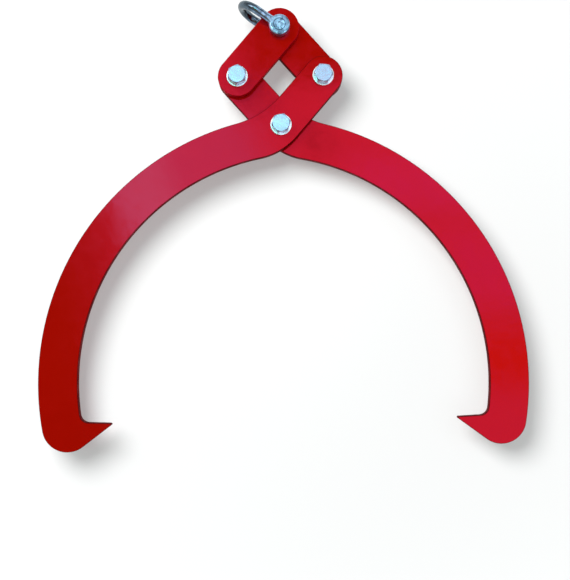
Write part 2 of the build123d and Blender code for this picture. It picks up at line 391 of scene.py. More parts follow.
def plate_piece(name, loops, thickness, place, round_size, edge_material, *finish):
    """A plate: each loop carries the edge's rounded profile, and the flats are filled between them.

    The profile goes from the top flat, over a quarter circle, down the cut face and round below."""
    quarter = np.linspace(0, math.pi / 2, EDGE_STEPS)
    inset = np.concatenate([round_size * (1 - np.sin(quarter)), round_size * (1 - np.cos(quarter))])
    height = np.concatenate([
        thickness - round_size * (1 - np.cos(quarter)),
        round_size * (1 - np.sin(quarter)),
    ])
    levels = len(inset)
    shape = bmesh.new()
    flat_edges = {0: [], levels - 1: []}
    for loop in map(thinned, loops):
        normals = outward_normals(loop)
        xy = loop[:, None, :] - inset[None, :, None] * normals[:, None, :]
        z = np.broadcast_to(height, (len(loop), levels))[..., None]
        points = placed(np.concatenate([xy, z], axis=-1).reshape(-1, 3), place)
        verts = [shape.verts.new(point) for point in points]
        for face in grid_faces(len(loop), levels, True, False):
            shape.faces.new([verts[i] for i in face]).material_index = 1
        for level in flat_edges:
            ring = verts[level::levels]
            pairs = zip(ring, ring[1:] + ring[:1])
            flat_edges[level] += [shape.edges.get(pair) for pair in pairs]
    for edges in flat_edges.values():
        bmesh.ops.triangle_fill(shape, use_beauty=True, edges=edges)
    mesh = bpy.data.meshes.new(name)
    shape.to_mesh(mesh)
    shape.free()
    piece = finish_piece(name, mesh, *finish)
    mesh.materials.append(edge_material)
    return piece


# Fasteners

def hex_radius(segments):
    """A hexagon's radius at each angle: its six sides under a high power mean, which rounds the corners."""
    angles = np.arange(segments) * TURN / segments
    sides = np.radians(np.arange(6) * 60 + 30)
    facing = np.maximum(np.cos(angles[:, None] - sides[None, :]), 0)
    return HALF_WRENCH / (facing**HEX_SHARPNESS).sum(1) ** (1 / HEX_SHARPNESS)


def each(segments, *pairs):
    """Corners (radius, height), each a number or one for every angle, as an array (segments, K, 2)."""
    columns = [np.stack(np.broadcast_arrays(np.full(segments, 0.0) + r, h), axis=-1) for r, h in pairs]
    return np.stack(columns, axis=1)


def bolt_points(segments=HEX_SEGMENTS):
    """Head, washer face, shank and thread from the middle of the head's top down to the shank's end."""
    hexagon = hex_radius(segments)
    drop = (hexagon - HEX_FACE_RADIUS) * HEX_SLOPE
    head = each(
        segments,
        (HEX_FACE_RADIUS / 2, BOLT_HEAD_HEIGHT),
        (HEX_FACE_RADIUS, BOLT_HEAD_HEIGHT),
        (hexagon, BOLT_HEAD_HEIGHT - drop),
        (hexagon, WASHER_FACE_HEIGHT),
        (HEX_FACE_RADIUS, WASHER_FACE_HEIGHT),
        (HEX_FACE_RADIUS, 0),
        (BOLT_RADIUS, 0),
        (BOLT_RADIUS, -BOLT_LENGTH / 4),
    )
    half = BOLT_HEAD_STEPS // 2
    head = rounded(head, BOLT_HEAD_ROUNDS, BOLT_HEAD_STEPS)[:, half:-half]
    top = each(segments, (0, BOLT_HEAD_HEIGHT))

    # Thread: flanks that rise and fall once a pitch, and shift by a pitch in one turn of the shank
    angles = np.arange(segments)[:, None] / segments
    heights = np.linspace(-BOLT_LENGTH + THREAD_LENGTH, -BOLT_LENGTH, THREAD_STEPS)[None, :]
    phase = (heights / THREAD_PITCH - angles) % 1
    groove = THREAD_DEPTH * np.clip(THREAD_FLANK * np.abs(phase - 0.5) - THREAD_CREST, 0, 1)
    run_out = np.clip((-BOLT_LENGTH + THREAD_LENGTH - heights) / THREAD_PITCH, 0, 1)
    end_cone = BOLT_RADIUS - BOLT_END_CHAMFER + (heights + BOLT_LENGTH)
    radius = np.minimum(BOLT_RADIUS - groove * run_out, end_cone)
    thread = np.stack([radius, np.broadcast_to(heights, radius.shape)], axis=-1)
    end = each(segments, (0, -BOLT_LENGTH))
    return turned_points(np.concatenate([top, head, thread, end], axis=1), segments)


def bolt_piece(name, place, *finish):
    """A bolt with its head's underside at the place, and its shank down the local Z axis."""
    points = bolt_points()
    faces = grid_faces(points.shape[0], points.shape[1], True, False)
    return new_piece(name, placed(points.reshape(-1, 3), place), faces, *finish)


def washer_piece(name, place, *finish):
    """A stamped ring: its outward rim is rolled over by the punch, its inward rim is sharp."""
    corners = [(WASHER_HOLE_RADIUS, 0), (WASHER_RADIUS, 0),
               (WASHER_RADIUS, WASHER_THICKNESS), (WASHER_HOLE_RADIUS, WASHER_THICKNESS)]
    loop = rounded(corners, WASHER_ROUNDS, WASHER_STEPS)
    return turned_piece(name, loop, place, WASHER_SEGMENTS, *finish)


def lock_nut_piece(name, place, *finish):
    """A hexagon with both ends coned, and a collar whose lip is rolled in over the ring."""
    hexagon = hex_radius(HEX_SEGMENTS)
    drop = (hexagon - HEX_FACE_RADIUS) * HEX_SLOPE
    ring_seat = NUT_RING_RADIUS + NUT_RING_GAP
    corners = each(
        HEX_SEGMENTS,
        (NUT_BORE_RADIUS, NUT_BORE_CHAMFER),
        (NUT_BORE_RADIUS + NUT_BORE_CHAMFER, 0),
        (HEX_FACE_RADIUS, 0),
        (hexagon, drop),
        (hexagon, NUT_HEX_HEIGHT - drop),
        (HEX_FACE_RADIUS, NUT_HEX_HEIGHT),
        (NUT_COLLAR_RADIUS, NUT_HEX_HEIGHT),
        (NUT_COLLAR_RADIUS, NUT_HEIGHT),
        (NUT_LIP_RADIUS, NUT_HEIGHT),
        (NUT_LIP_RADIUS, NUT_HEIGHT - NUT_LIP_THICKNESS),
        (ring_seat, NUT_HEIGHT - NUT_LIP_THICKNESS),
        (ring_seat, NUT_HEX_HEIGHT),
        (NUT_BORE_RADIUS, NUT_HEX_HEIGHT),
    )
    return turned_piece(name, rounded(corners, NUT_ROUNDS), place, HEX_SEGMENTS, *finish)


def nut_ring_piece(name, place, *finish):
    """The ring inside the nut's collar, pressed to a low dome where the lip leaves it bare."""
    top = NUT_HEIGHT - NUT_LIP_THICKNESS
    corners = [(NUT_BORE_RADIUS, NUT_HEX_HEIGHT), (NUT_RING_RADIUS, NUT_HEX_HEIGHT),
               (NUT_RING_RADIUS, top), (NUT_BORE_RADIUS, top)]
    loop = rounded(corners, NUT_RING_ROUNDS)
    return turned_piece(name, loop, place, RING_SEGMENTS, *finish)


# Shackle

SHACKLE_WAY = np.array([*polar(1, SHACKLE_ANGLE), 0])
SHACKLE_SIDE = np.cross(SHACKLE_WAY, (0, 0, 1))


def smooth_max(a, b, blend):
    """The larger of two values, with a rounded change-over this wide."""
    share = np.clip(0.5 + 0.5 * (a - b) / blend, 0, 1)
    return b + (a - b) * share + blend * share * (1 - share)


def bow_line():
    """Centre line of the bow in its plane: along one leg, round the bow and back, as (n, 2) points.

    Each leg leaves its eye parallel to the eye's faces and bends on to a line tangent to the round."""
    leg_height = HALF_JAW + EYE_THICKNESS / 2
    bow_centre = PIN_RADIUS + INSIDE_LENGTH + BAR_RADIUS - BOW_RADIUS
    to_bow = np.array([bow_centre - LEG_FOOT, -leg_height])
    slope = angle_of(to_bow) + math.degrees(math.asin(BOW_RADIUS / np.linalg.norm(to_bow)))
    bow_start = np.array([bow_centre, 0]) + polar(BOW_RADIUS, 90 + slope)
    eye_share = np.linspace(0, math.pi / 2, EYE_STEPS)
    eye_steps = -EYE_RADIUS * np.cos(eye_share)
    leg_steps = np.linspace(0, LEG_FOOT, LEG_FOOT_STEPS)[1:-1]
    straight = np.concatenate([eye_steps, leg_steps])
    straight = np.stack([straight, np.full(len(straight), leg_height)], axis=1)
    share = np.linspace(0, 1, LEG_STEPS)[:, None]
    leg = np.array([LEG_FOOT, leg_height]) * (1 - share) + bow_start * share
    half = np.concatenate([straight, leg[:-1], arc((bow_centre, 0), BOW_RADIUS, 90 + slope, 0)])
    other = half[-2::-1] * (1, -1)
    return np.concatenate([half, other])


def bow_points(around=BAR_SEGMENTS):
    """The bow as one bar: a superellipse carried along its centre line.

    Its width across the pin follows the eye's circle and blends into the round bar; its thickness
    is the bar's all the way, and its power falls from nearly square at the eye to a circle's."""
    line = bow_line()
    way = np.gradient(line, axis=0)
    way /= np.linalg.norm(way, axis=1)[:, None]
    along = line[:, 0]
    eye = np.sqrt(np.maximum(EYE_RADIUS**2 - along**2, 0))
    half_width = np.where(along < 0, eye, smooth_max(eye, BAR_RADIUS, EYE_BLEND))
    fade = np.clip((along - SQUARE_END) / SQUARE_FADE, 0, 1)
    squareness = CIRCLE_POWER + EYE_SQUARENESS * (1 - fade) ** SQUARE_FALL
    angles = np.arange(around) * TURN / around
    power = CIRCLE_POWER / squareness[:, None]
    across = half_width[:, None] * np.sign(np.cos(angles)) * np.abs(np.cos(angles)) ** power
    depth = BAR_RADIUS * np.sign(np.sin(angles)) * np.abs(np.sin(angles)) ** power
    x = line[:, 0, None] - way[:, 1, None] * depth
    y = line[:, 1, None] + way[:, 0, None] * depth
    return np.stack([x, y, across], axis=-1)


def bow_place():
    """Local X outwards from the pin, local Y along the pin to the front, local Z across both."""
    return place_at(PIVOTS["top"], SHACKLE_WAY, SHACKLE_SIDE)


def cut_with(piece, name, loop, place, segments):
    """Takes a turned cutter out of the piece, and applies it."""
    points = turned_points(np.asarray(loop, float), segments)
    faces = grid_faces(segments, points.shape[1], True, False)
    mesh = bpy.data.meshes.new(name)
    mesh.from_pydata(placed(points.reshape(-1, 3), place).tolist(), [], faces.tolist())
    close_mesh(mesh)
    cutter = bpy.data.objects.new(name, mesh)
    bpy.context.scene.collection.objects.link(cutter)
    cut = piece.modifiers.new("cut", "BOOLEAN")
    cut.object = cutter
    cut.operation = "DIFFERENCE"
    cut.solver = "EXACT"
    bpy.context.view_layer.objects.active = piece
    with bpy.context.temp_override(object=piece, active_object=piece):
        bpy.ops.object.modifier_move_to_index(modifier="cut", index=0)
        bpy.ops.object.modifier_apply(modifier="cut")
    bpy.data.objects.remove(cutter)


def shackle_bow_piece(*finish):
    """The forged bow with a hole through each eye, its mouths opened a little at both faces."""
    points = bow_points()
    faces = grid_faces(points.shape[0], points.shape[1], False, True)
    forged = placed(points.reshape(-1, 3), bow_place())
    piece = new_piece("shackle_bow_forged", forged, faces, *finish)
    hole_radius = PIN_RADIUS + PIN_HOLE_CLEARANCE
    mouth_radius = hole_radius + PIN_HOLE_MOUTH + CUTTER_REACH
    ends = EYE_THICKNESS + CUTTER_REACH
    loop = [(0, -CUTTER_REACH), (mouth_radius, -CUTTER_REACH), (hole_radius, PIN_HOLE_MOUTH),
            (hole_radius, EYE_THICKNESS - PIN_HOLE_MOUTH), (mouth_radius, ends), (0, ends)]
    for side in (1, -1):
        cut_with(piece, "eye_cutter", loop, stack_place("top", side, HALF_JAW), PIN_SEGMENTS)
    return piece


def pin_shank_piece(*finish):
    """Shank through both eyes with its threaded end in front, and the collar behind."""
    eye_face = HALF_JAW + EYE_THICKNESS
    corners = [(0, eye_face), (PIN_RADIUS, eye_face), (PIN_RADIUS, -eye_face),
               (COLLAR_RADIUS, -eye_face), (COLLAR_RADIUS, -eye_face - COLLAR_THICKNESS),
               (0, -eye_face - COLLAR_THICKNESS)]
    loop = rounded(corners, PIN_ROUNDS)
    points = turned_points(loop[ROUND_STEPS - 1:1 - ROUND_STEPS], PIN_SEGMENTS)
    faces = grid_faces(*points.shape[:2], True, False)
    shank = placed(points.reshape(-1, 3), stack_place("top", 1, 0))
    return new_piece("shackle_pin_shank", shank, faces, *finish)


def pin_tab_piece(*finish):
    """The flat eye that turns the pin: a round of the tab drawn in to a neck at the collar."""
    collar_face = HALF_JAW + EYE_THICKNESS + COLLAR_THICKNESS
    reach = TAB_LENGTH - TAB_RADIUS
    neck = np.array([0, TAB_NECK / 2])
    to_neck = neck - np.array([reach, 0])
    spread = math.degrees(math.acos(TAB_RADIUS / np.linalg.norm(to_neck)))
    start = angle_of(to_neck) - spread
    loop = np.concatenate([
        arc((reach, 0), TAB_RADIUS, -start, start),
        neck[None, :],
        (neck * (1, -1))[None, :],
    ])
    origin = PIVOTS["top"] - (0, 0, collar_face)
    place = place_at(origin - SHACKLE_SIDE * TAB_THICKNESS / 2, (0, 0, -1), SHACKLE_SIDE)
    loops = [loop, hole((reach, 0), TAB_HOLE_RADIUS)]
    return plate_piece("shackle_pin_tab", loops, TAB_THICKNESS, place, TAB_ROUND, GALVANISED, *finish)


# Materials: tones are linear colours, and a reach goes from one distance to another

PAINT_TONES = ((0.480, 0.0046, 0.0008, 1), (0.450, 0.0040, 0.0005, 1))
PAINT_MOTTLE = (0.495, 0.0060, 0.0012, 1)
PAINT_MOTTLE_SHARE = 0.3
PAINT_ROUGHNESS = 0.07
PAINT_DULLING = 0.05
HAIRLINE_DULLING = 0.06
PAINT_IOR = 2.05
PAINT_SHEEN = (1.0, 0.024, 0.08, 1)
HAIRLINE_WAYS = ((0.6, 0.06), (-1.1, 0.09))
HAIRLINE_PATCH_SCALE = 25.0
HAIRLINE_PATCH_EDGE = (0.5, 0.62)
# Painted shade: the cut faces are coloured darker than the enamel; the front link's are painted lighter, as
# if lit
CUT_EDGE_SHADED_TONES = ((0.19, 0.0012, 0.0030), (0.13, 0.0008, 0.0022))
CUT_EDGE_ROUGHNESS = (0.45, 0.6)
CUT_EDGE_GLOSS = 0.03
LINK_EDGE_PAINTED_LIGHT = 3.0
ZINC_TINT = (0.47, 0.61, 0.85, 1)
ZINC_ROUGHNESS = 0.20
WASHER_TINT = (0.92, 0.96, 1.0, 1)
WASHER_ROUGHNESS = 0.16
BLOOM_TONE = 0.72
BLOOM_SHARE = 0.5
BLOOM_DULLING = 0.14
SPANGLE_SCALE = 220.0
SPANGLE_TONES = ((0.45, 0.70, 0.98, 1), (0.11, 0.18, 0.28, 1))
SPANGLE_ROUGHNESS = (0.32, 0.44)
# Painted shade: round the bow the zinc's colour goes over to this dark grey, for the bow's dark reflections
PAINTED_BOW_SHADE_REACH = (14 * MM, 56 * MM)
PAINTED_BOW_SHADE_SHARE = 0.92
PAINTED_BOW_SHADE_TONE = (0.07, 0.09, 0.10, 1)
WORN_REACH = (14 * MM, 20 * MM)
WORN_SHINE = 0.2
NYLON_TONES = ((0.80, 0.81, 0.78, 1), (0.70, 0.72, 0.70, 1))
NYLON_ROUGHNESS = (0.38, 0.5)
NYLON_DEPTH = 0.15


def new_group(name, inputs, outputs):
    """An empty shader node group with these sockets, its inputs given as name, kind and default."""
    group = bpy.data.node_groups.new(name, "ShaderNodeTree")
    for label, kind, default in inputs:
        socket = group.interface.new_socket(label, in_out="INPUT", socket_type=kind)
        socket.default_value = default
    for label, kind in outputs:
        group.interface.new_socket(label, in_out="OUTPUT", socket_type=kind)
    enter = group.nodes.new("NodeGroupInput")
    leave = group.nodes.new("NodeGroupOutput")
    return group, enter, leave


def add_node(tree, kind, settings=None, **links):
    """A node with its settings, and its inputs linked to a socket or set to a value.

    An input goes by its name, or by its number as n0, n1 and so on."""
    node = tree.nodes.new(kind)
    for key, value in (settings or {}).items():
        setattr(node, key, value)
    for label, value in links.items():
        numbered = label[0] == "n" and label[1:].isdigit()
        socket = node.inputs[int(label[1:]) if numbered else label.replace("_", " ")]
        if isinstance(value, bpy.types.NodeSocket):
            tree.links.new(value, socket)
        else:
            socket.default_value = value
    return node


def math_node(tree, operation, a, b=0.0, clamp=False):
    """The result of one operation on two values, each a socket or a number."""
    settings = {"operation": operation, "use_clamp": clamp}
    return add_node(tree, "ShaderNodeMath", settings, n0=a, n1=b).outputs[0]


def vector_node(tree, operation, result, **links):
    """The named result of one operation on vectors."""
    return add_node(tree, "ShaderNodeVectorMath", {"operation": operation}, **links).outputs[result]


def ramp(tree, value, low, high, out_low=0.0, out_high=1.0):
    """A smooth step of a value from low to high, between two results."""
    settings = {"interpolation_type": "SMOOTHSTEP"}
    node = add_node(tree, "ShaderNodeMapRange", settings, Value=value)
    node.inputs["From Min"].default_value = low
    node.inputs["From Max"].default_value = high
    node.inputs["To Min"].default_value = out_low
    node.inputs["To Max"].default_value = out_high
    return node.outputs["Result"]


def noise(tree, place, scale, detail=2.0, roughness=0.5, distortion=0.0):
    """A soft noise from 0 to 1."""
    node = add_node(tree, "ShaderNodeTexNoise", None, Vector=place, Scale=scale, Detail=detail,
                    Roughness=roughness, Distortion=distortion)
    return node.outputs["Fac"]


def colour_mix(tree, share, a, b):
    """Colour a going over to colour b by a share from 0 to 1."""
    node = add_node(tree, "ShaderNodeMix", {"data_type": "RGBA"})
    for socket, value in ((node.inputs[0], share), (node.inputs[6], a), (node.inputs[7], b)):
        if isinstance(value, bpy.types.NodeSocket):
            tree.links.new(value, socket)
        else:
            socket.default_value = value
    return node.outputs[2]


def bump_group():
    """Height from a fine and a broad noise, as a normal: orange peel, casting skin or plating."""
    group, enter, leave = new_group(
        "surface_relief",
        [("Fine Scale", "NodeSocketFloat", 900.0), ("Fine Depth", "NodeSocketFloat", 0.02),
         ("Broad Scale", "NodeSocketFloat", 60.0), ("Broad Depth", "NodeSocketFloat", 0.1)],
        [("Normal", "NodeSocketVector")],
    )
    place = add_node(group, "ShaderNodeTexCoord").outputs["Object"]
    fine = noise(group, place, enter.outputs["Fine Scale"], 2.0)
    broad = noise(group, place, enter.outputs["Broad Scale"], 1.0)
    fine = math_node(group, "MULTIPLY", fine, enter.outputs["Fine Depth"])
    broad = math_node(group, "MULTIPLY", broad, enter.outputs["Broad Depth"])
    height = math_node(group, "ADD", fine, broad)
    bump = add_node(group, "ShaderNodeBump", None, Height=height, Distance=MM)
    group.links.new(bump.outputs["Normal"], leave.inputs["Normal"])
    return group


def blotch_group():
    """A mask of soft uneven patches: a smooth step of one distorted noise, from Low to High."""
    group, enter, leave = new_group(
        "soft_patches",
        [("Scale", "NodeSocketFloat", 20.0),
         ("Low", "NodeSocketFloat", 0.35), ("High", "NodeSocketFloat", 0.65)],
        [("Mask", "NodeSocketFloat")],
    )
    place = add_node(group, "ShaderNodeTexCoord").outputs["Object"]
    value = noise(group, place, enter.outputs["Scale"], 4.0, 0.55, 0.4)
    node = add_node(group, "ShaderNodeMapRange", {"interpolation_type": "SMOOTHSTEP"}, Value=value)
    group.links.new(enter.outputs["Low"], node.inputs["From Min"])
    group.links.new(enter.outputs["High"], node.inputs["From Max"])
    group.links.new(node.outputs["Result"], leave.inputs["Mask"])
    return group


def scratch_group():
    """Thin crossed hairlines: where a noise stretched in two directions passes its middle, in patches."""
    group, enter, leave = new_group(
        "hairlines",
        [("Scale", "NodeSocketFloat", 60.0), ("Width", "NodeSocketFloat", 0.012)],
        [("Mask", "NodeSocketFloat")],
    )
    place = add_node(group, "ShaderNodeTexCoord").outputs["Object"]
    masks = []
    for turn, stretch in HAIRLINE_WAYS:
        mapping = add_node(group, "ShaderNodeMapping", None, Vector=place)
        mapping.inputs["Rotation"].default_value = (0, 0, turn)
        mapping.inputs["Scale"].default_value = (1, stretch, 1)
        value = noise(group, mapping.outputs["Vector"], enter.outputs["Scale"], 1.5)
        off = math_node(group, "ABSOLUTE", math_node(group, "SUBTRACT", value, 0.5))
        off = math_node(group, "DIVIDE", off, enter.outputs["Width"])
        masks.append(math_node(group, "SUBTRACT", 1.0, off, True))
    both = math_node(group, "MAXIMUM", *masks)
    patch = noise(group, place, HAIRLINE_PATCH_SCALE, 1.0)
    both = math_node(group, "MULTIPLY", both, ramp(group, patch, *HAIRLINE_PATCH_EDGE))
    group.links.new(both, leave.inputs["Mask"])
    return group


RELIEF = bump_group()
PATCHES = blotch_group()
HAIRLINES = scratch_group()


def use_group(tree, group, **values):
    """A group placed in a material, with its own values by input name."""
    node = add_node(tree, "ShaderNodeGroup", {"node_tree": group})
    for label, value in values.items():
        node.inputs[label.replace("_", " ")].default_value = value
    return node


def new_material(name):
    """An empty material with its node tree and its Principled shader."""
    material = bpy.data.materials.new(name)
    material.use_nodes = True
    tree = material.node_tree
    return material, tree, tree.nodes["Principled BSDF"]


def red_paint():
    """Stoved gloss enamel: deep red of slowly changing tone, orange peel, fine mottling and hairlines."""
    material, tree, shader = new_material("red_gloss_paint")
    relief = use_group(tree, RELIEF, Fine_Scale=650.0, Fine_Depth=0.012, Broad_Scale=90.0, Broad_Depth=0.05)
    tone = use_group(tree, PATCHES, Scale=9.0, Low=0.3, High=0.7)
    mottle = use_group(tree, PATCHES, Scale=55.0, Low=0.35, High=0.7)
    scratches = use_group(tree, HAIRLINES, Scale=70.0, Width=0.010)
    colour = colour_mix(tree, tone.outputs["Mask"], *PAINT_TONES)
    mottled = math_node(tree, "MULTIPLY", mottle.outputs["Mask"], PAINT_MOTTLE_SHARE)
    colour = colour_mix(tree, mottled, colour, PAINT_MOTTLE)
    tree.links.new(colour, shader.inputs["Base Color"])
    roughness = math_node(tree, "MULTIPLY_ADD", mottle.outputs["Mask"], PAINT_DULLING)
    roughness.node.inputs[2].default_value = PAINT_ROUGHNESS
    scratched = math_node(tree, "MULTIPLY", scratches.outputs["Mask"], HAIRLINE_DULLING)
    roughness = math_node(tree, "ADD", roughness, scratched)
    tree.links.new(roughness, shader.inputs["Roughness"])
    tree.links.new(relief.outputs["Normal"], shader.inputs["Normal"])
    shader.inputs["IOR"].default_value = PAINT_IOR
    shader.inputs["Specular IOR Level"].default_value = 1.0
    shader.inputs["Specular Tint"].default_value = PAINT_SHEEN
    return material


def cut_edge_painted_shade(name, strength):
    """The same enamel on the cut faces: duller and a little ridged, and darker as painted shade.

    The number it is given multiplies its tones as painted light: 1 for the darkest painted shade, more for
    faces painted as if lit."""
    material, tree, shader = new_material(name)
    relief = use_group(tree, RELIEF, Fine_Scale=420.0, Fine_Depth=0.03, Broad_Scale=120.0, Broad_Depth=0.08)
    tone = use_group(tree, PATCHES, Scale=40.0, Low=0.3, High=0.7)
    light, dark = (tuple(strength * c for c in colour) + (1,) for colour in CUT_EDGE_SHADED_TONES)
    colour = colour_mix(tree, tone.outputs["Mask"], light, dark)
    tree.links.new(colour, shader.inputs["Base Color"])
    roughness = ramp(tree, tone.outputs["Mask"], 0, 1, *CUT_EDGE_ROUGHNESS)
    tree.links.new(roughness, shader.inputs["Roughness"])
    tree.links.new(relief.outputs["Normal"], shader.inputs["Normal"])
    shader.inputs["Specular IOR Level"].default_value = CUT_EDGE_GLOSS
    return material


def zinc_plate(name, tint, rough):
    """Bright zinc: bluish metal, faint bloom and fine grain."""
    material, tree, shader = new_material(name)
    relief = use_group(tree, RELIEF, Fine_Scale=1500.0, Fine_Depth=0.02, Broad_Scale=260.0, Broad_Depth=0.06)
    bloom = use_group(tree, PATCHES, Scale=160.0, Low=0.35, High=0.65)
    dark = tuple(BLOOM_TONE * c for c in tint[:3]) + (1,)
    share = math_node(tree, "MULTIPLY", bloom.outputs["Mask"], BLOOM_SHARE)
    tree.links.new(colour_mix(tree, share, tint, dark), shader.inputs["Base Color"])
    roughness = math_node(tree, "MULTIPLY_ADD", bloom.outputs["Mask"], BLOOM_DULLING)
    roughness.node.inputs[2].default_value = rough
    tree.links.new(roughness, shader.inputs["Roughness"])
    tree.links.new(relief.outputs["Normal"], shader.inputs["Normal"])
    shader.inputs["Metallic"].default_value = 1.0
    return material


def galvanised():
    """Hot dip zinc: spangle of differing tones over a slightly lumpy forging.

    By the distance from the pin's axis it is dull at the eyes and smoother past them, and round the
    bow its colour goes over to a dark grey, painted shade for the bow's dark reflections."""
    material, tree, shader = new_material("galvanised_forging")
    relief = use_group(tree, RELIEF, Fine_Scale=900.0, Fine_Depth=0.04, Broad_Scale=150.0, Broad_Depth=0.25)
    place = add_node(tree, "ShaderNodeTexCoord").outputs["Object"]
    spangle = add_node(tree, "ShaderNodeTexVoronoi", {"feature": "F1"}, Vector=place, Scale=SPANGLE_SCALE)
    grain = add_node(tree, "ShaderNodeSeparateColor", None, Color=spangle.outputs["Color"]).outputs[0]
    colour = colour_mix(tree, grain, *SPANGLE_TONES)
    flat = vector_node(tree, "MULTIPLY", "Vector", n0=place, n1=(1, 1, 0))
    from_pin = vector_node(tree, "DISTANCE", "Value", n0=flat, n1=PIVOTS["top"] * (1, 1, 0))
    # Painted shade: the bow darkens from the eyes to the crown, for its dark reflections
    painted_bow_shade = ramp(tree, from_pin, *PAINTED_BOW_SHADE_REACH, 0, PAINTED_BOW_SHADE_SHARE)
    colour = colour_mix(tree, painted_bow_shade, colour, PAINTED_BOW_SHADE_TONE)
    tree.links.new(colour, shader.inputs["Base Color"])
    roughness = ramp(tree, grain, 0.0, 1.0, *SPANGLE_ROUGHNESS)
    worn = ramp(tree, from_pin, *WORN_REACH, 0, WORN_SHINE)
    roughness = math_node(tree, "SUBTRACT", roughness, worn)
    tree.links.new(roughness, shader.inputs["Roughness"])
    tree.links.new(relief.outputs["Normal"], shader.inputs["Normal"])
    shader.inputs["Metallic"].default_value = 1.0
    return material


def nylon():
    """Natural nylon: milky off-white, a little cloudy."""
    material, tree, shader = new_material("natural_nylon")
    bloom = use_group(tree, PATCHES, Scale=200.0, Low=0.3, High=0.7)
    colour = colour_mix(tree, bloom.outputs["Mask"], *NYLON_TONES)
    tree.links.new(colour, shader.inputs["Base Color"])
    roughness = ramp(tree, bloom.outputs["Mask"], 0, 1, *NYLON_ROUGHNESS)
    tree.links.new(roughness, shader.inputs["Roughness"])
    shader.inputs["Subsurface Weight"].default_value = NYLON_DEPTH
    shader.inputs["Subsurface Scale"].default_value = MM
    return material


PAINT = red_paint()
# Painted shade on the cut faces, and a copy of it painted as if lit
CUT_EDGE_SHADED_PAINT = cut_edge_painted_shade("red_paint_shaded_on_cut_edges", 1.0)
LINK_EDGE_LIT_PAINT = cut_edge_painted_shade("red_paint_lit_on_link_edges", LINK_EDGE_PAINTED_LIGHT)
ZINC = zinc_plate("bright_zinc", ZINC_TINT, ZINC_ROUGHNESS)
WASHER_ZINC = zinc_plate("washer_zinc", WASHER_TINT, WASHER_ROUGHNESS)
GALVANISED = galvanised()
NYLON = nylon()


# Pieces

def dress_plates():
    """The two arms and two links, each in its layer, from one pivot towards another."""
    thickness = FRONT_FACES[1] - FRONT_FACES[0]
    arm_holes = [hole((0, 0), BOLT_HOLE_RADIUS), hole((PIVOT_SPACING, 0), BOLT_HOLE_RADIUS)]
    link_holes = [hole((0, 0), EYE_HOLE_RADIUS), hole((PIVOT_SPACING, 0), BOLT_HOLE_RADIUS)]
    arm = [arm_outline()] + arm_holes
    link = [link_outline()] + link_holes
    # The front link's cut faces take the copy painted as if lit; the others take the painted shade
    rows = (
        ("front_arm", arm, "centre", "right", 1, CUT_EDGE_SHADED_PAINT),
        ("back_arm", arm, "centre", "left", -1, CUT_EDGE_SHADED_PAINT),
        ("front_link", link, "top", "left", 1, LINK_EDGE_LIT_PAINT),
        ("back_link", link, "top", "right", -1, CUT_EDGE_SHADED_PAINT),
    )
    for node, loops, pivot, toward, side, edge_paint in rows:
        face = FRONT_FACES[0] if side > 0 else BACK_FACES[1]
        origin = PIVOTS[pivot] + (0, 0, face - MIDDLE_HEIGHT)
        place = place_at(origin, PIVOTS[toward] - PIVOTS[pivot], (0, 0, side))
        plate_piece(f"{node}_painted", loops, thickness, place, EDGE_ROUND, edge_paint,
                    PAINT, node, "plate_paint", (node,))


def dress_fasteners():
    """A bolt, two washers and a lock nut with its ring at each pivot with two plates."""
    for name, body in BOLT_BODIES.items():
        head = stack_place(name, 1, HEAD_SEAT, BOLT_TURNS[name])
        nut = stack_place(name, -1, HEAD_SEAT, BOLT_TURNS[name])
        zinc = (ZINC, body, "zinc_plated_steel")
        bolt_piece(f"{name}_bolt_threaded", head, *zinc, (f"{name}_bolt",))
        for side, word in ((1, "front"), (-1, "back")):
            seat = stack_place(name, side, HEAD_SEAT - WASHER_THICKNESS)
            washer_piece(f"{name}_{word}_washer_stamped", seat, WASHER_ZINC, body, "zinc_plated_steel",
                         (f"{name}_{word}_washer",))
        lock_nut_piece(f"{name}_lock_nut_coned", nut, *zinc, (f"{name}_lock_nut",))
        nut_ring_piece(f"{name}_nut_ring_pressed", nut, NYLON, body, "nylon", (f"{name}_nut_ring",))


def dress_shackle():
    """The bow, and the pin as its shank and its flat eye."""
    finish = (GALVANISED, "shackle", "galvanised_steel")
    shackle_bow_piece(*finish, ("shackle_bow",))
    pin_shank_piece(*finish, ("shackle_pin",))
    pin_tab_piece(*finish)


dress_plates()
dress_fasteners()
dress_shackle()


# Studio: floor, light and camera

